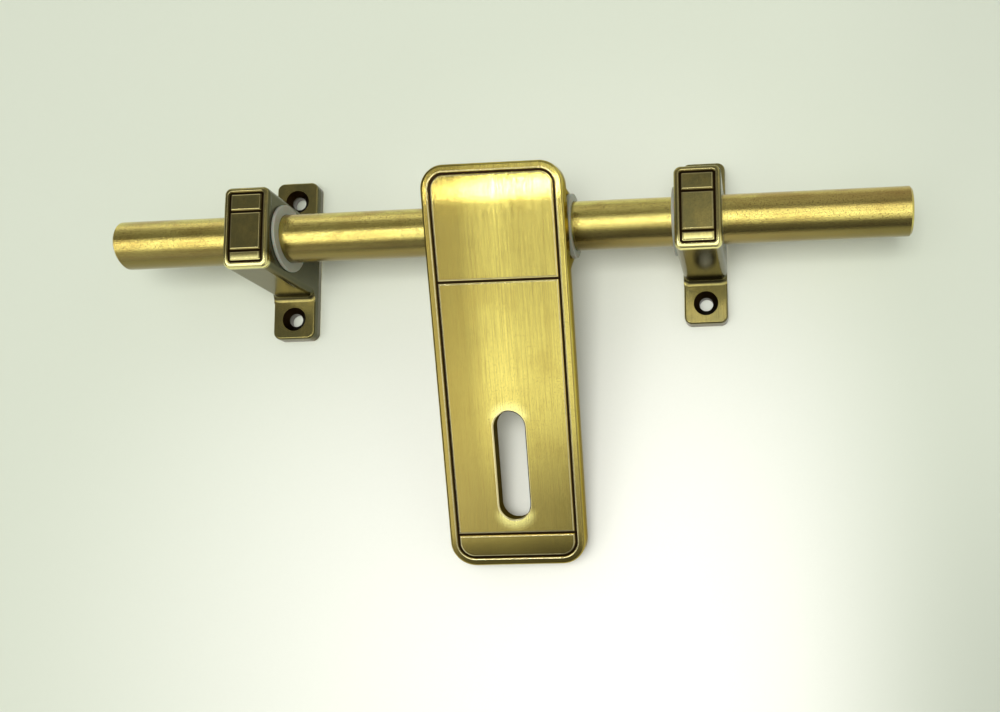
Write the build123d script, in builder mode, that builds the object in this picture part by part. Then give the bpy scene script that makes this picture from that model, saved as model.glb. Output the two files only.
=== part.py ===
from build123d import *
from math import cos, radians, sin
import os

# Surface-mounted sliding door bolt. A round rod slides through two cast brackets that are screwed
# to the door. A cast drop handle is fixed on the middle of the rod: it is the grip, and its slot
# goes over a staple for a padlock.
# Millimetres. X runs along the rod, the door's face is the plane Y = 0 and the bolt stands in front
# of it at negative Y, Z is up. The origin is on the door's face, at the rod's height, midway between
# the brackets. The rod rests a little to the right of the middle, with the handle hanging down.

# ---- driving sizes: rod ----
rod_diameter = 18.0
rod_length = 300.0
rod_end_chamfer = 0.8
rod_axis_height = 29.0  # from the door's face
rod_offset = 10.8  # the rod's middle at rest, to the right of the brackets' middle

# ---- driving sizes: brackets, their bushes and the buffer rings ----
bracket_pitch = 167.0
bracket_width = 17.1
head_wall = 4.2  # metal above and below the bush
head_cover = 3.9  # metal in front of the bush
head_corner = 2.6
head_rim = 2.4  # from the head's edge to the middle of its groove
head_rim_round = 1.4
head_groove_corner = 0.8
head_top_line = 5.8  # above the rod's axis
head_bottom_line = 9.0  # below the rod's axis
head_top_roll = 0.3  # how far the front falls back at the head's upper edge
head_bottom_roll = 1.1
base_height = 65.4
base_thickness = 4.9
base_corner = 3.0
base_edge_round = 0.7
post_foot_fillet = 2.4
core_wall = 3.6  # metal left round the hollow in the back of the post
core_draft = 2.0
core_corner = 1.5
screw_pitch = 49.2
screw_hole_radius = 2.7
screw_sink_radius = 4.8
screw_sink_angle = 90.0
bush_wall = 2.0
bush_flange_reach = 1.42  # beyond the bush
bush_flange_thickness = 1.2
ring_wall = 2.6
ring_thickness = 1.9
nylon_edge_round = 0.3

# ---- driving sizes: handle and its set screws ----
handle_width = 51.6
handle_slope = 17.0  # degrees, the tail lies nearer the door than the top
handle_front = 20.0  # from the rod's axis, square to the plate
handle_thickness = 6.0
handle_top = 22.2  # above the rod's axis, along the plate
handle_bottom = 125.4  # below the rod's axis, along the plate
handle_top_corner = 8.5
handle_bottom_corner = 9.2
handle_rim = 3.3  # from the plate's edge to the middle of its groove
handle_rim_round = 1.0
handle_top_line = 19.0  # below the rod's axis
handle_bottom_line = 113.0
handle_roll = 1.0  # how far the front falls back at the top and bottom edges
handle_top_roll_length = 18.0
boss_inset = 1.9  # each end of the boss, behind the plate's edge
boss_wall = 3.3
boss_foot_top = 15.5
boss_foot_bottom = 20.0
recess_wall = 4.0
recess_depth = 3.0
recess_corner = 5.0
slot_width = 11.9
slot_length = 41.0
slot_place = 87.0  # the slot's middle, below the rod's axis
slot_edge_chamfer = 0.4
slot_rim = 3.0
set_screw_diameter = 6.0
set_screw_spacing = 26.0
set_screw_bite = 1.6  # depth of the seat drilled into the rod
set_screw_sink = 0.4  # socket end, inside the boss
set_screw_point = 0.9
hex_socket_across = 3.0
hex_socket_depth = 2.0

# ---- engraving on the handle and the heads ----
groove_width = 1.3
groove_depth = 0.55

# ---- clearances, on the radius for round fits ----
fixed_fit = 0.04  # rod in the handle
pressed_fit = 0.02  # bush in its bracket
running_fit = 0.08  # rod in the bushes
ring_fit = 0.2  # rod in the loose buffer rings
ring_gap = 0.15  # buffer ring to the end of the boss
thread_fit = 0.03

tolerance = 0.01  # for picking edges by their place

# ---- sizes that follow ----
rod_radius = rod_diameter / 2
bush_bore = rod_radius + running_fit
bush_radius = bush_bore + bush_wall
bush_flange_radius = bush_radius + bush_flange_reach
ring_bore = rod_radius + ring_fit
ring_radius = ring_bore + ring_wall
bracket_bore = bush_radius + pressed_fit
bracket_half = bracket_width / 2
core_depth = rod_axis_height - bracket_bore - core_wall
bracket_face = bracket_pitch / 2 - bracket_half
head_half = bracket_bore + head_wall
head_front = rod_axis_height + bracket_bore + head_cover
handle_half = handle_width / 2
handle_back = handle_front - handle_thickness
boss_bore = rod_radius + fixed_fit
boss_radius = boss_bore + boss_wall
boss_half = handle_half - boss_inset
set_screw_radius = set_screw_diameter / 2
set_screw_tip = rod_radius - set_screw_bite
set_screw_head = boss_radius - set_screw_sink
set_screw_places = [(-set_screw_spacing / 2, 0), (set_screw_spacing / 2, 0)]

# The handle's own frame sits where the rod's axis crosses its middle: up along the plate, and out
# square to the plate's front.
slope = radians(handle_slope)
plate_up = Vector(0, -sin(slope), cos(slope))
plate_out = Vector(0, -cos(slope), -sin(slope))
handle_centre = Vector(rod_offset, -rod_axis_height, 0)
plate_plane = Plane(origin=handle_centre, x_dir=(1, 0, 0), z_dir=plate_out)
plate_side_plane = Plane(origin=handle_centre, x_dir=plate_up, z_dir=(1, 0, 0))


def rod_section(x):
    """A plane across the rod at x."""
    return Plane(origin=(x, -rod_axis_height, 0), x_dir=(0, 1, 0), z_dir=(1, 0, 0))


def door_plane(x):
    """The door's face at x, looking out of the door, with Z up."""
    return Plane(origin=(x, 0, 0), x_dir=(1, 0, 0), z_dir=(0, -1, 0))


def door_side_plane(x):
    """A side view at x: its own X is up, its own Y is out of the door."""
    return Plane(origin=(x, 0, 0), x_dir=(0, 0, 1), z_dir=(1, 0, 0))


def rounded_panel(half_width, top, bottom, top_corner, bottom_corner, mode=Mode.ADD):
    """Draws a rectangle with its own upper and lower corner radii in the open sketch."""
    with BuildLine() as border:
        FilletPolyline(
            (-half_width, bottom),
            (half_width, bottom),
            (half_width, top),
            (-half_width, top),
            radius=(bottom_corner, bottom_corner, top_corner, top_corner),
            close=True,
        )
    make_face(border.edges(), mode=mode)


def rolled_profile(back, front, top, top_start, top_roll, bottom, bottom_start, bottom_roll):
    """Draws a side view whose flat front rolls back towards its top and bottom edges. X is up."""
    top_edge = (top, front - top_roll)
    bottom_edge = (bottom, front - bottom_roll)
    with BuildLine() as border:
        Polyline(bottom_edge, (bottom, back), (top, back), top_edge)
        TangentArc((top_start, front), top_edge, tangent=(1, 0))
        Line((bottom_start, front), (top_start, front))
        TangentArc((bottom_start, front), bottom_edge, tangent=(-1, 0))
    make_face(border.edges())


def handle_profile(sunk):
    """The plate's side view, with its front lowered by sunk."""
    rolled_profile(
        handle_back,
        handle_front - sunk,
        handle_top,
        handle_top - handle_top_roll_length,
        handle_roll,
        -handle_bottom,
        -handle_bottom_line,
        handle_roll,
    )


def head_profile(sunk):
    """The head's side view back to the door, with its front lowered by sunk."""
    rolled_profile(
        0,
        head_front - sunk,
        head_half,
        head_top_line,
        head_top_roll,
        -head_half,
        -head_bottom_line,
        head_bottom_roll,
    )


def engraved_frame(half_width, top, bottom, top_corner, bottom_corner, lines):
    """Draws a groove's outline and cross lines, given by their centre lines, in the open sketch."""
    reach = groove_width / 2
    outer = (half_width + reach, top + reach, bottom - reach, top_corner + reach, bottom_corner + reach)
    inner = (half_width - reach, top - reach, bottom + reach, top_corner - reach, bottom_corner - reach)
    rounded_panel(*outer)
    rounded_panel(*inner, mode=Mode.SUBTRACT)
    with Locations([(0, place) for place in lines]):
        Rectangle(2 * half_width, groove_width)


# ---- rod ----
with BuildPart() as bolt_rod:
    with BuildSketch(rod_section(rod_offset)):
        Circle(rod_radius)
    extrude(amount=rod_length / 2, both=True)
    chamfer(bolt_rod.edges().filter_by(GeomType.CIRCLE), rod_end_chamfer)
    # seats drilled for the handle's set screws
    with BuildSketch(plate_plane.offset(-set_screw_tip)):
        with Locations(set_screw_places):
            Circle(set_screw_radius + thread_fit)
    extrude(amount=-rod_radius, mode=Mode.SUBTRACT)
bolt_rod.part.label = "bolt_rod"

# ---- drop handle, plate and boss in one casting ----
with BuildPart() as handle_engraving:
    with BuildSketch(plate_plane.offset(handle_back)):
        engraved_frame(
            handle_half - handle_rim,
            handle_top - handle_rim,
            handle_rim - handle_bottom,
            handle_top_corner - handle_rim,
            handle_bottom_corner - handle_rim,
            (-handle_top_line, -handle_bottom_line),
        )
    extrude(amount=2 * handle_thickness)
    with BuildSketch(plate_side_plane):
        handle_profile(groove_depth)
    extrude(amount=handle_half, both=True, mode=Mode.SUBTRACT)

with BuildPart() as handle:
    with BuildSketch(plate_plane.offset(handle_back)):
        rounded_panel(handle_half, handle_top, -handle_bottom, handle_top_corner, handle_bottom_corner)
    extrude(amount=handle_thickness)
    with BuildSketch(plate_side_plane):
        handle_profile(0)
    extrude(amount=handle_half, both=True, mode=Mode.INTERSECT)
    # the front's outer border, without the seams where the flat front starts to roll
    front_edges = handle.edges().filter_by(
        lambda edge: plate_plane.to_local_coords(edge.center()).Z > handle_front - handle_roll - 0.01
    )
    fillet(
        front_edges.filter_by(
            lambda edge: edge.geom_type != GeomType.LINE
            or abs(edge.center().X - rod_offset) > handle_half / 2
            or plate_plane.to_local_coords(edge.center()).Z < handle_front - handle_roll / 2
        ),
        handle_rim_round,
    )
    # boss round the rod
    with BuildSketch(plate_side_plane):
        with BuildLine():
            CenterArc((0, 0), boss_radius, 0, 360)
            Line((boss_foot_top, handle_back), (-boss_foot_bottom, handle_back))
        make_hull()
    extrude(amount=boss_half, both=True)
    with BuildSketch(plate_side_plane):
        Circle(boss_bore)
    extrude(amount=handle_half, both=True, mode=Mode.SUBTRACT)
    # shallow recess in the back, with a rim left round the slot
    with BuildSketch(plate_plane.offset(handle_back)):
        rounded_panel(
            handle_half - recess_wall,
            -boss_foot_bottom - recess_wall,
            recess_wall - handle_bottom,
            recess_corner,
            recess_corner,
        )
        with Locations((0, -slot_place)):
            SlotOverall(slot_length + 2 * slot_rim, slot_width + 2 * slot_rim, rotation=90, mode=Mode.SUBTRACT)
    extrude(amount=recess_depth, mode=Mode.SUBTRACT)
    # padlock slot
    with BuildSketch(plate_plane.offset(handle_front)):
        with Locations((0, -slot_place)):
            SlotOverall(slot_length, slot_width, rotation=90)
    extrude(amount=-handle_thickness, mode=Mode.SUBTRACT)
    with BuildSketch(plate_plane.offset(handle_front)):
        with Locations((0, -slot_place)):
            SlotOverall(slot_length + 2 * slot_edge_chamfer, slot_width + 2 * slot_edge_chamfer, rotation=90)
    extrude(amount=-slot_edge_chamfer, taper=45, mode=Mode.SUBTRACT)
    # threaded holes for the set screws, in the back of the boss
    with BuildSketch(plate_plane):
        with Locations(set_screw_places):
            Circle(set_screw_radius)
    extrude(amount=-boss_radius, mode=Mode.SUBTRACT)
    add(handle_engraving.part, mode=Mode.SUBTRACT)
handle.part.label = "handle"

# ---- set screws that hold the handle on the rod ----
with BuildPart() as handle_set_screws:
    with BuildSketch(plate_plane.offset(-set_screw_head)):
        with Locations(set_screw_places):
            Circle(set_screw_radius - thread_fit)
    extrude(amount=set_screw_head - set_screw_tip)
    tips = handle_set_screws.faces().filter_by(plate_plane).group_by(Axis(handle_centre, plate_out))[-1]
    chamfer(tips.edges(), set_screw_point)
    with BuildSketch(plate_plane.offset(-set_screw_head)):
        with Locations(set_screw_places):
            RegularPolygon(hex_socket_across / 2, 6, major_radius=False)
    extrude(amount=hex_socket_depth, mode=Mode.SUBTRACT)
handle_set_screws.part.label = "handle_set_screws"


# ---- brackets ----
def make_bracket(x):
    """A bracket casting in its place: base with two screw lobes, post, and engraved head."""
    with BuildPart() as engraving:
        with BuildSketch(door_plane(x)):
            engraved_frame(
                bracket_half - head_rim,
                head_half - head_rim,
                head_rim - head_half,
                head_groove_corner,
                head_groove_corner,
                (head_top_line, -head_bottom_line),
            )
        extrude(amount=head_front + groove_width)
        with BuildSketch(door_side_plane(x)):
            head_profile(groove_depth)
        extrude(amount=bracket_half, both=True, mode=Mode.SUBTRACT)

    with BuildPart() as base:
        with BuildSketch(door_plane(x)):
            rounded_panel(bracket_half, base_height / 2, -base_height / 2, base_corner, base_corner)
        extrude(amount=base_thickness)
        fillet(base.edges().group_by(Axis.Y)[0], base_edge_round)

    with BuildPart() as bracket:
        with BuildSketch(door_plane(x)):
            rounded_panel(bracket_half, head_half, -head_half, head_corner, head_corner)
        extrude(amount=head_front)
        with BuildSketch(door_side_plane(x)):
            head_profile(0)
        extrude(amount=bracket_half, both=True, mode=Mode.INTERSECT)
        head_border = bracket.edges().filter_by(lambda edge: edge.center().Y < head_bottom_roll - head_front)
        fillet(head_border, head_rim_round)
        # the foot's fillet is made on a pad wider than the post and then cut back to its width
        with BuildSketch(door_plane(x)):
            Rectangle(bracket_width + 4 * post_foot_fillet, 2 * head_half + 4 * post_foot_fillet)
        extrude(amount=base_thickness)
        pad_front = bracket.faces().filter_by(Plane.XZ).filter_by_position(
            Axis.Y, -base_thickness - tolerance, -base_thickness + tolerance
        )
        fillet(pad_front.face().inner_wires().edges(), post_foot_fillet)
        with BuildSketch(door_plane(x)):
            Rectangle(bracket_width, 2 * head_half + 2 * post_foot_fillet)
        extrude(amount=head_front, mode=Mode.INTERSECT)
        add(base.part)
        # hollow cast into the back of the post, clear of the bush
        with BuildSketch(door_plane(x)):
            RectangleRounded(bracket_width - 2 * core_wall, 2 * (head_half - core_wall), core_corner)
        extrude(amount=core_depth, taper=core_draft, mode=Mode.SUBTRACT)
        # countersunk screw holes
        with Locations(door_plane(x).offset(base_thickness)):
            with Locations((0, -screw_pitch / 2), (0, screw_pitch / 2)):
                CounterSinkHole(
                    screw_hole_radius,
                    screw_sink_radius,
                    depth=base_thickness,
                    counter_sink_angle=screw_sink_angle,
                )
        # bore for the bush
        with BuildSketch(rod_section(x)):
            Circle(bracket_bore)
        extrude(amount=bracket_half, both=True, mode=Mode.SUBTRACT)
        add(engraving.part, mode=Mode.SUBTRACT)
    return bracket.part


bracket_left = make_bracket(-bracket_pitch / 2)
bracket_left.label = "bracket_left"
bracket_right = make_bracket(bracket_pitch / 2)
bracket_right.label = "bracket_right"


# ---- nylon bushes, pressed into the brackets with their flanges towards the handle ----
def make_bush(inner_face, inward):
    """A flanged bush whose flange seats on the bracket's inner face. inward is +1 or -1 along X."""
    with BuildPart() as bush:
        with BuildSketch(rod_section(inner_face)):
            Circle(bush_radius)
            Circle(bush_bore, mode=Mode.SUBTRACT)
        extrude(amount=-inward * bracket_width)
        with BuildSketch(rod_section(inner_face)):
            Circle(bush_flange_radius)
            Circle(bush_bore, mode=Mode.SUBTRACT)
        extrude(amount=inward * bush_flange_thickness)
        round_outer_edges(bush, bush_flange_radius)
    return bush.part


def round_outer_edges(piece, radius):
    """Rounds a nylon piece's edges that run round the rod at the given radius."""
    rims = piece.edges().filter_by(GeomType.CIRCLE).filter_by(lambda edge: abs(edge.radius - radius) < tolerance)
    fillet(rims, nylon_edge_round)


bush_left = make_bush(-bracket_face, 1)
bush_left.label = "bush_left"
bush_right = make_bush(bracket_face, -1)
bush_right.label = "bush_right"


# ---- loose nylon rings that cushion the handle against the bushes ----
def make_ring(near_end, outward):
    """A flat ring on the rod. outward is +1 or -1 along X, away from the handle."""
    with BuildPart() as ring:
        with BuildSketch(rod_section(near_end)):
            Circle(ring_radius)
            Circle(ring_bore, mode=Mode.SUBTRACT)
        extrude(amount=outward * ring_thickness)
        round_outer_edges(ring, ring_radius)
    return ring.part


ring_left = make_ring(rod_offset - boss_half - ring_gap, -1)
ring_left.label = "ring_left"
ring_right = make_ring(rod_offset + boss_half + ring_gap, 1)
ring_right.label = "ring_right"

# ---- files ----
os.makedirs("parts", exist_ok=True)
export_step(bolt_rod.part, "parts/bolt_rod.step")
export_step(handle.part, "parts/handle.step")
export_step(handle_set_screws.part, "parts/handle_set_screws.step")
export_step(bracket_left, "parts/bracket_left.step")
export_step(bracket_right, "parts/bracket_right.step")
export_step(bush_left, "parts/bush_left.step")
export_step(bush_right, "parts/bush_right.step")
export_step(ring_left, "parts/ring_left.step")
export_step(ring_right, "parts/ring_right.step")
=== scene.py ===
from math import cos, pi, radians, sin

import bpy
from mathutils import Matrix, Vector


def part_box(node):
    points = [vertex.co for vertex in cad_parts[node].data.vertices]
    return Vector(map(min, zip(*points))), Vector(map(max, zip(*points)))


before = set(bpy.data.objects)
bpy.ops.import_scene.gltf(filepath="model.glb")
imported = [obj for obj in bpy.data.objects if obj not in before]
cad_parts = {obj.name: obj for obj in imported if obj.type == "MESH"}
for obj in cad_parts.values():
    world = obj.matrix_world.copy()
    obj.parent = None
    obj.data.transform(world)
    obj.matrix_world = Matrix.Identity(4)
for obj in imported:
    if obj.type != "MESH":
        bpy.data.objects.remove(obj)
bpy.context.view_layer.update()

MM = 0.001

# ---- places and sizes, from the frame and the design's own measures ----
rod_low, rod_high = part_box("bolt_rod")
handle_low, handle_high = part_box("handle")
head_low, head_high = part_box("bracket_right")

rod_axis_y = (rod_low.y + rod_high.y) / 2
rod_radius = (rod_high.z - rod_low.z) / 2
handle_centre = Vector(((handle_low.x + handle_high.x) / 2, rod_axis_y, 0))
handle_half = (handle_high.x - handle_low.x) / 2
handle_slope = radians(17)
plate_up = Vector((0, -sin(handle_slope), cos(handle_slope)))
plate_out = Vector((0, -cos(handle_slope), -sin(handle_slope)))
plate_front = 20 * MM  # from the rod's axis, square to the plate
plate_back = 14 * MM
plate_top = 22.2 * MM  # along the plate
plate_bottom = -125.4 * MM
plate_rim = 3.3 * MM  # edge to the groove's middle
plate_corners = (8.5 * MM, 9.2 * MM)
plate_lines = (-19 * MM, -113 * MM)
slot_middle = -87 * MM
slot_half_length = 20.5 * MM
slot_half_width = 5.95 * MM

bracket_x = (head_low.x + head_high.x) / 2
bracket_half = (head_high.x - head_low.x) / 2
head_front = -head_low.y
head_half = 15.3 * MM
head_rim = 2.4 * MM
head_corner = 0.8 * MM
head_lines = (5.8 * MM, -9.0 * MM)
base_front = 4.9 * MM
screw_z = 24.6 * MM
screw_sink = 4.8 * MM
groove_half = 0.65 * MM


class Nodes:
    """Short calls for building a node tree."""

    def __init__(self, tree):
        self.tree = tree
        tree.nodes.clear()

    def node(self, kind, inputs=None, **settings):
        made = self.tree.nodes.new(kind)
        for key, value in settings.items():
            setattr(made, key, value)
        for key, value in (inputs or {}).items():
            self.feed(made.inputs[key], value)
        return made

    def feed(self, socket, value):
        if isinstance(value, bpy.types.NodeSocket):
            self.tree.links.new(value, socket)
        else:
            socket.default_value = value

    def math(self, operation, *values):
        made = self.node("ShaderNodeMath", operation=operation)
        for socket, value in zip(made.inputs, values):
            self.feed(socket, value)
        return made.outputs[0]

    def vector(self, x, y, z):
        return self.node("ShaderNodeCombineXYZ", {0: x, 1: y, 2: z}).outputs[0]

    def length(self, x, y):
        return self.math("SQRT", self.math("ADD", self.math("MULTIPLY", x, x), self.math("MULTIPLY", y, y)))

    def step(self, value, low, high):
        """0 at low, 1 at high, smooth between them. low may be above high."""
        made = self.node(
            "ShaderNodeMapRange",
            {0: value, 1: low, 2: high, 3: 0.0, 4: 1.0},
            interpolation_type="SMOOTHSTEP",
        )
        return made.outputs[0]

    def band(self, value, middle, half, edge):
        """1 within half of the middle, falling to 0 over edge beyond it."""
        off = self.math("ABSOLUTE", self.math("SUBTRACT", value, middle))
        return self.step(off, half + edge, half)

    def scale(self, value, low, high):
        """Takes 0..1 to low..high."""
        return self.node("ShaderNodeMapRange", {0: value, 1: 0.0, 2: 1.0, 3: low, 4: high}).outputs[0]

    def curve(self, value, stops):
        """Straight lines between stops (value, level)."""
        first, last = stops[0][0], stops[-1][0]
        spread = self.node("ShaderNodeMapRange", {0: value, 1: first, 2: last}).outputs[0]
        made = self.node("ShaderNodeValToRGB", {0: spread})
        elements = made.color_ramp.elements
        while len(elements) < len(stops):
            elements.new(0.5)
        for element, (place, level) in zip(elements, stops):
            element.position = (place - first) / (last - first)
            element.color = (level, level, level, 1)
        return self.node("ShaderNodeRGBToBW", {0: made.outputs[0]}).outputs[0]

    def blend(self, amount, first, second):
        made = self.node("ShaderNodeMix", data_type="RGBA")
        self.feed(made.inputs["Factor"], amount)
        self.feed(made.inputs[6], first)
        self.feed(made.inputs[7], second)
        return made.outputs[2]


class Shader(Nodes):
    """One node material on a principled surface."""

    def __init__(self, name):
        self.material = bpy.data.materials.new(name)
        self.material.use_nodes = True
        super().__init__(self.material.node_tree)
        self.output = self.node("ShaderNodeOutputMaterial")
        self.surface = self.node("ShaderNodeBsdfPrincipled")
        self.feed(self.output.inputs["Surface"], self.surface.outputs["BSDF"])
        self.place = self.node("ShaderNodeTexCoord").outputs["Object"]

    def set(self, **values):
        """Sets the surface's sockets: base_color=... is its Base Color."""
        for key, value in values.items():
            self.feed(self.surface.inputs[key.replace("_", " ").title().replace("Ior", "IOR")], value)

    def split(self):
        return self.node("ShaderNodeSeparateXYZ", {0: self.place}).outputs

    def along(self, direction, origin):
        """Distance from origin along a direction."""
        moved = self.node("ShaderNodeVectorMath", {0: self.place, 1: origin}, operation="SUBTRACT")
        made = self.node("ShaderNodeVectorMath", {0: moved.outputs[0], 1: direction}, operation="DOT_PRODUCT")
        return made.outputs["Value"]

    def noise(self, where, size, detail=2.0, roughness=0.5):
        """Noise with features of about the given size, in metres, on coordinates in metres."""
        made = self.node(
            "ShaderNodeTexNoise",
            {"Vector": where, "Scale": 1 / size, "Detail": detail, "Roughness": roughness},
        )
        return made.outputs["Fac"]

    def tint(self, tone, amount, mask, colour):
        """Mixes a colour in by amount where the mask is 1."""
        return self.blend(self.math("MULTIPLY", mask, amount), tone, colour)

    def bump(self, height, depth, strength=1.0):
        made = self.node("ShaderNodeBump", {"Height": height, "Distance": depth, "Strength": strength})
        self.feed(self.surface.inputs["Normal"], made.outputs[0])


def frame_distance(s, across, up, half_width, top, bottom, corners):
    """Signed distance from a rounded outline: negative inside it. corners are the upper and lower radii."""
    from_middle = s.math("SUBTRACT", up, (top + bottom) / 2)
    radius = s.scale(s.math("GREATER_THAN", from_middle, 0.0), corners[1], corners[0])
    over_x = s.math("ADD", s.math("SUBTRACT", s.math("ABSOLUTE", across), half_width), radius)
    over_y = s.math("ADD", s.math("SUBTRACT", s.math("ABSOLUTE", from_middle), (top - bottom) / 2), radius)
    corner = s.length(s.math("MAXIMUM", over_x, 0.0), s.math("MAXIMUM", over_y, 0.0))
    inside = s.math("MINIMUM", s.math("MAXIMUM", over_x, over_y), 0.0)
    return s.math("SUBTRACT", s.math("ADD", corner, inside), radius)


def groove_distance(s, outline, up, lines):
    """Distance from the middle of an engraved frame and its cross lines."""
    nearest = s.math("ABSOLUTE", outline)
    for line in lines:
        from_line = s.math("ABSOLUTE", s.math("SUBTRACT", up, line))
        nearest = s.math("MINIMUM", nearest, s.math("MAXIMUM", from_line, outline))
    return nearest


def engraving(s, groove, on_front):
    """Masks for a groove's dark fill and its pale lips, partly rubbed edges and partly a painted edge
    highlight, and a height that rounds the lips over.
    """
    dark = s.math("MULTIPLY", s.step(groove, groove_half - 0.05 * MM, groove_half - 0.25 * MM), on_front)
    lip = s.math("MULTIPLY", s.band(groove, groove_half + 0.15 * MM, 0.1 * MM, 0.2 * MM), on_front)
    round_over = s.math("MULTIPLY", s.step(groove, groove_half, groove_half + 0.35 * MM), on_front)
    return dark, lip, round_over


# ---- colours, linear ----
PATINA = (0.022, 0.012, 0.004, 1)

# The first two colours paint shade at the plate's left and a highlight down its middle. The tail, side and
# slot-wall colours are painted shade, the slot-end colour is a painted highlight, and the lip colour is
# partly a painted edge highlight.
SHADED_BRASS = (0.31, 0.245, 0.06, 1)
HIGHLIGHT_BRASS = (0.79, 0.68, 0.175, 1)
STAINED_BRASS = (0.36, 0.25, 0.05, 1)
STREAKED_BRASS = (0.34, 0.25, 0.06, 1)
TAIL_SHADE_BRASS = (0.31, 0.25, 0.07, 1)
SLOT_HIGHLIGHT_BRASS = (1.0, 0.93, 0.33, 1)
BRUSH_MARK = (0.30, 0.21, 0.045, 1)
GRAIN_MARK = (0.28, 0.20, 0.04, 1)
SIDE_SHADE_BRASS = (0.22, 0.18, 0.065, 1)
BARE_LIP_AND_HIGHLIGHT = (0.95, 0.86, 0.50, 1)
SLOT_SHADE_BRASS = (0.045, 0.035, 0.013, 1)
GRAZING_BRASS = (0.60, 0.50, 0.22, 1)

ROD_GOLD = (0.82, 0.695, 0.20, 1)
ROD_CLOUD = (0.64, 0.49, 0.13, 1)
ROD_TOP = (0.46, 0.27, 0.09, 1)
# painted shade for the rod's underside
ROD_UNDERSIDE_SHADE = (0.19, 0.15, 0.06, 1)
ROD_END = (0.48, 0.27, 0.09, 1)
ROD_STREAK = (0.34, 0.22, 0.06, 1)
ROD_SPECK = (0.32, 0.215, 0.055, 1)

OLIVE_BRASS = (0.32, 0.285, 0.105, 1)
BROWN_BRASS = (0.44, 0.365, 0.12, 1)
OLIVE_BRUSH_MARK = (0.24, 0.185, 0.06, 1)
OLIVE_GRAIN = (0.17, 0.125, 0.04, 1)
# painted shade on faces turned down and to the right, and a painted highlight on the head's lower strip; the
# lip colour is partly a painted edge highlight
OLIVE_UNDERSIDE_SHADE = (0.11, 0.095, 0.04, 1)
OLIVE_SIDE_SHADE = (0.075, 0.075, 0.04, 1)
OLIVE_STRIP_HIGHLIGHT = (1.0, 0.93, 0.40, 1)
OLIVE_LIP_AND_HIGHLIGHT = (0.70, 0.61, 0.32, 1)
BARE_METAL = (0.35, 0.34, 0.30, 1)

NYLON_DULL = (0.32, 0.33, 0.26, 1)
NYLON_PALE = (0.46, 0.475, 0.39, 1)
BLACK_STEEL = (0.02, 0.02, 0.022, 1)
WORN_STEEL = (0.12, 0.11, 0.10, 1)

# the wall's colours paint its light: darker edges, a pale pool low down and shade at the far right
WALL_EDGE = (0.645, 0.69, 0.57, 1)
WALL_PAINTED_LIGHT = (0.98, 0.98, 0.90, 1)
WALL_RIGHT_SHADE = (0.40, 0.43, 0.36, 1)
WALL_GRAIN = (0.45, 0.50, 0.42, 1)
ROOM_WHITE = (1.0, 1.0, 0.97, 1)


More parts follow.
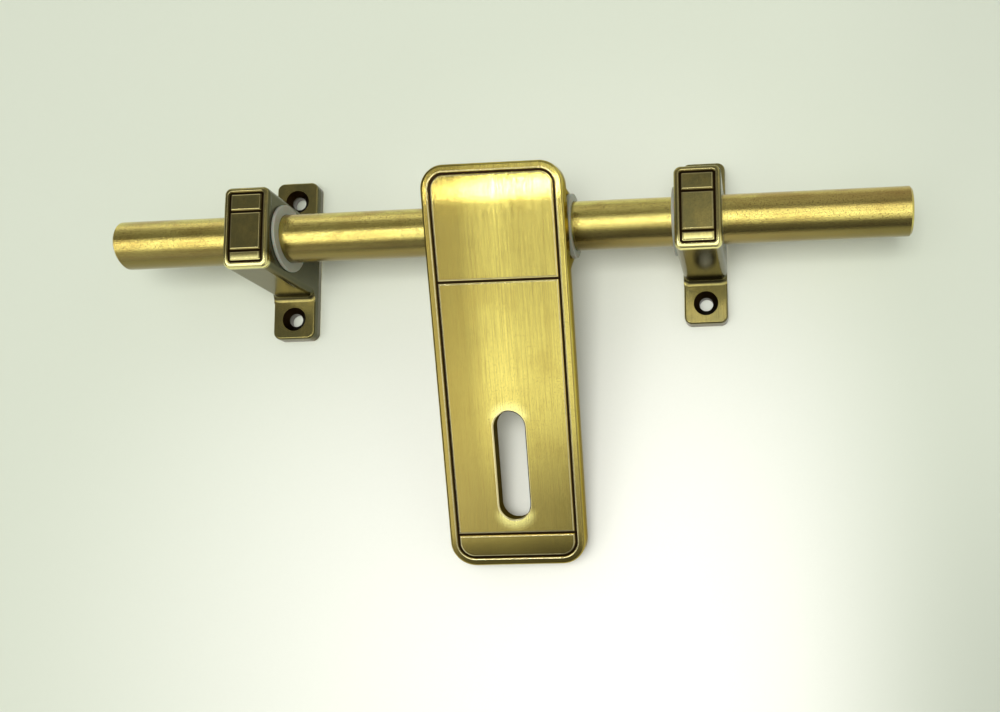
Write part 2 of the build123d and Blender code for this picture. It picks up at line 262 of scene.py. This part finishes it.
def handle_material():
    """Antique brass brushed along the plate, with dark lines. Shade is painted at its left, bottom and sides
    and in the slot; highlights are painted down its middle and round the slot's ends, and in part on the
    lips.
    """
    s = Shader("brushed_brass_handle")
    across = s.along((1, 0, 0), handle_centre)
    up = s.along(plate_up, handle_centre)
    out = s.along(plate_out, handle_centre)
    outline = frame_distance(
        s,
        across,
        up,
        handle_half - plate_rim,
        plate_top - plate_rim,
        plate_bottom + plate_rim,
        [corner - plate_rim for corner in plate_corners],
    )
    on_front = s.step(out, plate_back + 2 * MM, plate_back + 2.5 * MM)
    groove = groove_distance(s, outline, up, plate_lines)
    dark, lip, round_over = engraving(s, groove, on_front)

    from_middle = s.math("ABSOLUTE", s.math("SUBTRACT", up, slot_middle))
    past_slot = s.math("SUBTRACT", from_middle, slot_half_length - slot_half_width)
    slot = s.math("SUBTRACT", s.length(across, s.math("MAXIMUM", past_slot, 0.0)), slot_half_width)
    bevel = s.math("MULTIPLY", s.band(slot, 0.25 * MM, 0.2 * MM, 0.2 * MM), on_front)
    below_front = s.step(out, plate_front - 0.4 * MM, plate_front - 1 * MM)
    shaded_slot_wall = s.math("MULTIPLY", s.step(slot, 0.4 * MM, 0.1 * MM), below_front)
    side = s.step(out, plate_front - 1.6 * MM, plate_front - 2.4 * MM)

    brushed = s.vector(across, s.math("MULTIPLY", up, 0.014), s.math("MULTIPLY", out, 0.3))
    fine = s.noise(brushed, 0.2 * MM, 3, 0.65)
    streak = s.noise(s.vector(across, s.math("MULTIPLY", up, 0.012), 0.0), 0.8 * MM, 3, 0.6)
    grain = s.noise(s.place, 0.42 * MM, 2, 0.6)
    stain = s.noise(s.place, 18 * MM, 3, 0.6)
    # painted light across the plate: shade at the left, a highlight down the middle, shifted a little by the
    # stain
    painted_light = s.curve(
        s.math("ADD", across, s.scale(stain, -3 * MM, 3 * MM)),
        [(-24 * MM, 0.0), (-13 * MM, 0.2), (-6 * MM, 0.75), (1 * MM, 1.0), (7 * MM, 0.78), (24 * MM, 0.74)],
    )

    # a painted highlight round the slot's ends
    slot_highlight = s.math("MULTIPLY", s.step(slot, 5 * MM, 0.5 * MM), s.band(across, 0.5 * MM, 4 * MM, 6 * MM))
    slot_highlight = s.math("MULTIPLY", slot_highlight, s.step(past_slot, 1 * MM, 5 * MM))
    tone = s.blend(painted_light, SHADED_BRASS, HIGHLIGHT_BRASS)
    tone = s.tint(tone, 0.25, s.step(stain, 0.5, 0.72), STAINED_BRASS)
    tone = s.tint(tone, 0.28, s.step(streak, 0.42, 0.7), STREAKED_BRASS)
    # painted shade, darker towards the plate's bottom
    tone = s.tint(tone, 0.85, s.step(up, -60 * MM, -106 * MM), TAIL_SHADE_BRASS)
    tone = s.tint(tone, 0.95, slot_highlight, SLOT_HIGHLIGHT_BRASS)
    tone = s.tint(tone, 0.38, s.step(fine, 0.48, 0.66), BRUSH_MARK)
    tone = s.tint(tone, 0.45, s.step(grain, 0.54, 0.70), GRAIN_MARK)
    # painted shade on every face behind the plate's front
    tone = s.tint(tone, 0.9, side, SIDE_SHADE_BRASS)
    # pale lips and slot bevel: partly rubbed edges, partly a painted edge highlight
    tone = s.tint(tone, 0.75, s.math("MAXIMUM", lip, bevel), BARE_LIP_AND_HIGHLIGHT)
    # painted shade on the slot's wall
    tone = s.tint(tone, 0.95, shaded_slot_wall, SLOT_SHADE_BRASS)
    tone = s.blend(dark, tone, PATINA)
    marks = s.math("MULTIPLY", s.math("ADD", fine, grain), 0.5)
    rough = s.math("ADD", s.scale(marks, 0.08, 0.24), s.math("MULTIPLY", dark, 0.3))
    rough = s.math("ADD", rough, s.math("MULTIPLY", shaded_slot_wall, 0.4))
    smoother_top = s.scale(s.step(up, 2 * MM, 11 * MM), 1.0, 0.5)
    rough = s.math("MULTIPLY", rough, smoother_top)
    s.set(
        base_color=tone,
        metallic=1.0,
        roughness=rough,
        anisotropic=0.2,
        specular_tint=GRAZING_BRASS,
    )
    s.feed(s.surface.inputs["Tangent"], s.vector(1.0, 0.0, 0.0))
    height = s.math("ADD", s.math("MULTIPLY", fine, 0.05), s.math("MULTIPLY", grain, 0.03))
    s.bump(s.math("ADD", height, s.math("MULTIPLY", round_over, 0.35)), 0.3 * MM)
    return s.material


def rod_material():
    """Drawn brass-plated bar: fine marks along it, small pits, browner in patches, with painted shade on its
    underside.
    """
    s = Shader("polished_brass_rod")
    x, y, z = s.split()
    angle = s.math("ARCTAN2", s.math("SUBTRACT", y, rod_axis_y), z)
    lengthways = s.vector(s.math("MULTIPLY", x, 0.04), s.math("MULTIPLY", angle, rod_radius), 0.0)
    streak = s.noise(lengthways, 0.5 * MM, 3, 0.6)
    cloud = s.noise(s.vector(s.math("MULTIPLY", x, 0.4), y, z), 8 * MM, 5, 0.65)
    speck = s.noise(s.place, 0.5 * MM, 3, 0.7)
    above = s.node("ShaderNodeSeparateXYZ", {0: s.node("ShaderNodeTexCoord").outputs["Normal"]}).outputs["Z"]
    tone = s.blend(s.step(cloud, 0.40, 0.72), ROD_GOLD, ROD_CLOUD)
    brown_top = s.math("MULTIPLY", s.step(above, 0.35, 0.8), s.step(cloud, 0.42, 0.58))
    brown_end = s.math("MULTIPLY", s.step(x, 0.08, 0.15), s.step(above, -0.4, 0.5))
    tone = s.tint(tone, 0.55, brown_top, ROD_TOP)
    # painted shade on the rod's underside
    tone = s.tint(tone, 0.88, s.step(above, -0.45, -0.85), ROD_UNDERSIDE_SHADE)
    tone = s.tint(tone, 0.5, brown_end, ROD_END)
    tone = s.tint(tone, 0.35, s.step(streak, 0.50, 0.75), ROD_STREAK)
    tone = s.tint(tone, 0.75, s.step(speck, 0.50, 0.68), ROD_SPECK)
    s.set(base_color=tone, metallic=1.0, roughness=s.scale(s.math("ADD", streak, speck), 0.08, 0.19))
    s.bump(s.math("ADD", s.math("MULTIPLY", streak, 0.4), speck), 0.05 * MM)
    return s.material


def bracket_material():
    """Dark olive antique brass with dark engraving and black countersinks; shade is painted on faces turned
    down and to the right, a highlight on the head's lower strip, and in part on the lips.
    """
    s = Shader("dark_brass_bracket")
    x, y, z = s.split()
    depth = s.math("MULTIPLY", y, -1.0)
    across = s.math("SUBTRACT", s.math("ABSOLUTE", x), bracket_x)
    outline = frame_distance(
        s,
        across,
        z,
        bracket_half - head_rim,
        head_half - head_rim,
        head_rim - head_half,
        (head_corner, head_corner),
    )
    on_front = s.step(depth, head_front - 2.6 * MM, head_front - 2.2 * MM)
    groove = groove_distance(s, outline, z, head_lines)
    dark, lip, round_over = engraving(s, groove, on_front)
    from_screw = s.length(across, s.math("SUBTRACT", s.math("ABSOLUTE", z), screw_z))
    sink = s.math(
        "MULTIPLY",
        s.step(from_screw, screw_sink + 0.15 * MM, screw_sink - 0.1 * MM),
        s.step(depth, base_front + 1 * MM, base_front + 0.2 * MM),
    )
    bare = s.math("MULTIPLY", s.step(from_screw, 2.9 * MM, 2.6 * MM), sink)

    brushed = s.vector(across, s.math("MULTIPLY", z, 0.06), s.math("MULTIPLY", depth, 0.06))
    fine = s.noise(brushed, 0.4 * MM, 3, 0.6)
    stain = s.noise(s.place, 7 * MM, 4, 0.65)
    grain = s.noise(s.place, 0.6 * MM, 2, 0.6)
    tone = s.blend(s.step(stain, 0.35, 0.7), OLIVE_BRASS, BROWN_BRASS)
    faces = s.node("ShaderNodeSeparateXYZ", {0: s.node("ShaderNodeTexCoord").outputs["Normal"]}).outputs
    tone = s.tint(tone, 0.4, s.step(fine, 0.50, 0.7), OLIVE_BRUSH_MARK)
    tone = s.tint(tone, 0.4, s.step(grain, 0.60, 0.74), OLIVE_GRAIN)
    # painted shade on faces turned down
    tone = s.tint(tone, 0.88, s.step(faces[2], -0.1, -0.6), OLIVE_UNDERSIDE_SHADE)
    # painted shade on faces turned to the right
    tone = s.tint(tone, 0.93, s.step(faces[0], 0.4, 0.9), OLIVE_SIDE_SHADE)
    near_front = s.step(depth, head_front - 3.5 * MM, head_front - 2 * MM)
    # a painted highlight on the head's lower strip and rim
    painted_light = s.math("MULTIPLY", s.step(z, -9.5 * MM, -13 * MM), near_front)
    tone = s.tint(tone, 0.9, painted_light, OLIVE_STRIP_HIGHLIGHT)
    # pale lips: partly rubbed edges, partly a painted edge highlight
    tone = s.tint(tone, 0.4, lip, OLIVE_LIP_AND_HIGHLIGHT)
    tone = s.blend(s.math("MAXIMUM", dark, sink), tone, PATINA)
    tone = s.tint(tone, 0.6, bare, BARE_METAL)
    rough = s.math("ADD", s.scale(fine, 0.14, 0.26), s.math("MULTIPLY", s.math("MAXIMUM", dark, sink), 0.3))
    s.set(base_color=tone, metallic=1.0, roughness=rough)
    height = s.math("ADD", s.math("MULTIPLY", fine, 0.03), s.math("MULTIPLY", grain, 0.03))
    s.bump(s.math("ADD", height, s.math("MULTIPLY", round_over, 0.35)), 0.3 * MM)
    return s.material


def nylon_material():
    """Natural nylon: milky, slightly see-through, faintly uneven."""
    s = Shader("natural_nylon")
    cloud = s.noise(s.place, 5 * MM, 3, 0.6)
    mark = s.noise(s.place, 0.6 * MM, 2, 0.5)
    tone = s.blend(cloud, NYLON_DULL, NYLON_PALE)
    s.set(
        base_color=tone,
        roughness=s.scale(mark, 0.32, 0.48),
        subsurface_weight=0.4,
        subsurface_scale=0.002,
        transmission_weight=0.25,
        ior=1.5,
    )
    s.bump(mark, 0.03 * MM, 0.5)
    return s.material


def screw_material():
    """Blackened steel."""
    s = Shader("black_steel_screw")
    wear = s.noise(s.place, 0.8 * MM, 3, 0.6)
    tone = s.blend(s.step(wear, 0.55, 0.75), BLACK_STEEL, WORN_STEEL)
    s.set(base_color=tone, metallic=1.0, roughness=s.scale(wear, 0.35, 0.5))
    s.bump(wear, 0.02 * MM, 0.5)
    return s.material


def dress(material, *nodes):
    """Gives CAD nodes a material."""
    for name in nodes:
        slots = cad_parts[name].material_slots
        for slot in slots:
            slot.material = material


dress(handle_material(), "handle")
dress(rod_material(), "bolt_rod")
dress(bracket_material(), "bracket_left", "bracket_right")
dress(nylon_material(), "bush_left", "bush_right", "ring_left", "ring_right")
dress(screw_material(), "handle_set_screws")


# ---- studio ----
def wall():
    """A pale wall just behind the bolt, seen from the front only: a pool of light painted brightest low down,
    with painted shade towards its edges and at the far right.
    """
    s = Shader("pale_wall")
    x, y, z = s.split()
    right = s.math("SUBTRACT", x, 0.06)
    over = s.math("ADD", z, 0.17)
    from_pale = s.length(
        s.math("MAXIMUM", s.math("MULTIPLY", right, 2.1), s.math("MULTIPLY", right, -0.95)),
        s.math("MAXIMUM", over, s.math("MULTIPLY", over, -0.3)),
    )
    paint = s.noise(s.place, 0.9 * MM, 2, 0.5)
    # a painted pool of light low down, darker towards the edges
    tone = s.blend(s.step(from_pale, 0.28, 0.02), WALL_EDGE, WALL_PAINTED_LIGHT)
    # painted shade at the far right, strongest low down
    shaded_far_right = s.math("MULTIPLY", s.step(right, 0.05, 0.14), s.scale(s.step(z, -0.05, -0.2), 0.3, 1.0))
    tone = s.tint(tone, 0.6, shaded_far_right, WALL_RIGHT_SHADE)
    tone = s.tint(tone, 0.05, paint, WALL_GRAIN)
    s.set(base_color=tone, roughness=0.9)
    clear = s.node("ShaderNodeBsdfTransparent").outputs[0]
    backs = s.node("ShaderNodeNewGeometry").outputs["Backfacing"]
    touching = s.math("LESS_THAN", s.node("ShaderNodeLightPath").outputs["Ray Length"], 3 * MM)
    open_side = s.math("MAXIMUM", backs, touching)
    seen = s.node("ShaderNodeMixShader", {0: open_side, 1: s.surface.outputs[0], 2: clear})
    s.feed(s.output.inputs["Surface"], seen.outputs[0])
    half = 3.0
    behind = 0.5 * MM
    mesh = bpy.data.meshes.new("wall")
    corners = [(-half, behind, -half), (half, behind, -half), (half, behind, half), (-half, behind, half)]
    mesh.from_pydata(corners, [], [(0, 1, 2, 3)])
    mesh.materials.append(s.material)
    made = bpy.data.objects.new("wall", mesh)
    bpy.context.scene.collection.objects.link(made)


def soft_light(name, azimuth, elevation, distance, size, radiance, target):
    """A square light for the wall and the nylon; the metal mirrors the room instead."""
    a, e = radians(azimuth), radians(elevation)
    out = Vector((sin(a) * cos(e), -cos(a) * cos(e), sin(e)))
    lamp = bpy.data.lights.new(name, "AREA")
    lamp.size = size
    lamp.energy = radiance * pi * size**2
    made = bpy.data.objects.new(name, lamp)
    made.location = Vector(target) + out * distance
    made.rotation_euler = out.to_track_quat("Z", "Y").to_euler()
    made.visible_camera = False
    made.visible_glossy = False
    bpy.context.scene.collection.objects.link(made)


def room():
    """What the metal mirrors: a window in front with a small lamp and a dark bar in it, in a dim room."""
    world = bpy.data.worlds.new("studio")
    world.use_nodes = True
    s = Nodes(world.node_tree)
    x, y, z = s.node("ShaderNodeSeparateXYZ", {0: s.node("ShaderNodeTexCoord").outputs["Generated"]}).outputs
    azimuth = s.math("DEGREES", s.math("ARCTAN2", x, s.math("MULTIPLY", y, -1.0)))
    elevation = s.math("DEGREES", s.math("ARCSINE", z))

    slant = s.node("ShaderNodeMapRange", {0: azimuth, 1: -29.0, 2: -3.0, 3: -9.5, 4: 5.8}).outputs[0]
    height = s.math("SUBTRACT", elevation, slant)
    window = s.math(
        "MULTIPLY",
        s.curve(
            height,
            [(-50, 0), (-40, 0.05), (-34, 0.12), (-28, 0.27), (-22, 0.85), (-17, 0.7), (-8, 0.7), (0, 0.8)]
            + [(8, 0.7), (12, 0.35), (15, 0.05), (20, 0)],
        ),
        s.curve(
            azimuth,
            [(-46, 0), (-36, 0.9), (-22, 1.0), (-18, 0.6), (-9, 0.6), (-6, 0.95), (-1, 0.95)]
            + [(2, 0.62), (12, 0.6), (22, 0)],
        ),
    )
    from_lamp = s.math("ADD", azimuth, 14.0)
    over_lamp = s.math("ADD", elevation, 4.6)
    along = s.math("ADD", s.math("MULTIPLY", from_lamp, 0.6), s.math("MULTIPLY", over_lamp, 0.8))
    beside = s.math("SUBTRACT", s.math("MULTIPLY", from_lamp, 0.8), s.math("MULTIPLY", over_lamp, 0.6))
    lamp = s.math("MULTIPLY", s.band(along, 0.0, 2.6, 1.2), s.band(beside, 0.0, 0.6, 0.6))
    bar = s.math("MULTIPLY", s.band(azimuth, -14.5, 4.5, 4.0), s.band(elevation, -3.0, 11.0, 8.0))
    window = s.math("MULTIPLY", window, s.scale(bar, 1.0, 0.45))
    low = s.math("MULTIPLY", s.band(azimuth, 10.0, 9.0, 6.0), s.band(elevation, -30.0, 11.0, 10.0))
    floor = s.math("MULTIPLY", s.band(azimuth, -75.0, 22.0, 15.0), s.band(elevation, -46.0, 14.0, 12.0))
    walls = s.curve(azimuth, [(-180, 0.7), (-98, 0.7), (-76, 0), (26, 0), (46, 0.5), (100, 0.7), (180, 0.7)])
    walls = s.math("MULTIPLY", walls, s.band(elevation, 0.0, 50.0, 15.0))
    ceiling = s.math("MULTIPLY", s.band(azimuth, -60.0, 20.0, 25.0), s.band(elevation, 60.0, 5.0, 8.0))
    dim = s.curve(
        elevation,
        [(-90, 0.12), (-62, 0.19), (-47, 0.06), (-30, 0.11), (15, 0.16), (30, 0.24), (50, 0.36), (90, 0.42)],
    )

    light = dim
    lit_parts = [(window, 2.6), (lamp, 24.0), (low, 0.8), (floor, 0.5), (walls, 1.0), (ceiling, 0.55)]
    for part, level in lit_parts:
        light = s.math("ADD", light, s.math("MULTIPLY", part, level))
    background = s.node("ShaderNodeBackground", {0: ROOM_WHITE, 1: light})
    s.node("ShaderNodeOutputWorld", {0: background.outputs[0]})
    bpy.context.scene.world = world


def camera():
    lens = bpy.data.cameras.new("camera")
    lens.sensor_width = 36  # both in mm
    lens.lens = 35.348
    lens.shift_x = -0.2
    lens.shift_y = 0.1103
    lens.clip_start = 0.01
    made = bpy.data.objects.new("camera", lens)
    made.location = (106.04 * MM, -380.13 * MM, -132.06 * MM)
    made.rotation_euler = (radians(96.528), radians(1.117), radians(4.117))
    bpy.context.scene.collection.objects.link(made)
    bpy.context.scene.camera = made


wall()
soft_light("front_lamp", 3, -3, 0.9, 0.35, 10.4, (0.05, 0, -0.12))
soft_light("side_fill", -32, 24, 1.1, 1.2, 0.38, (0, 0, -0.03))
room()
camera()
bpy.context.scene.view_settings.view_transform = "Standard"
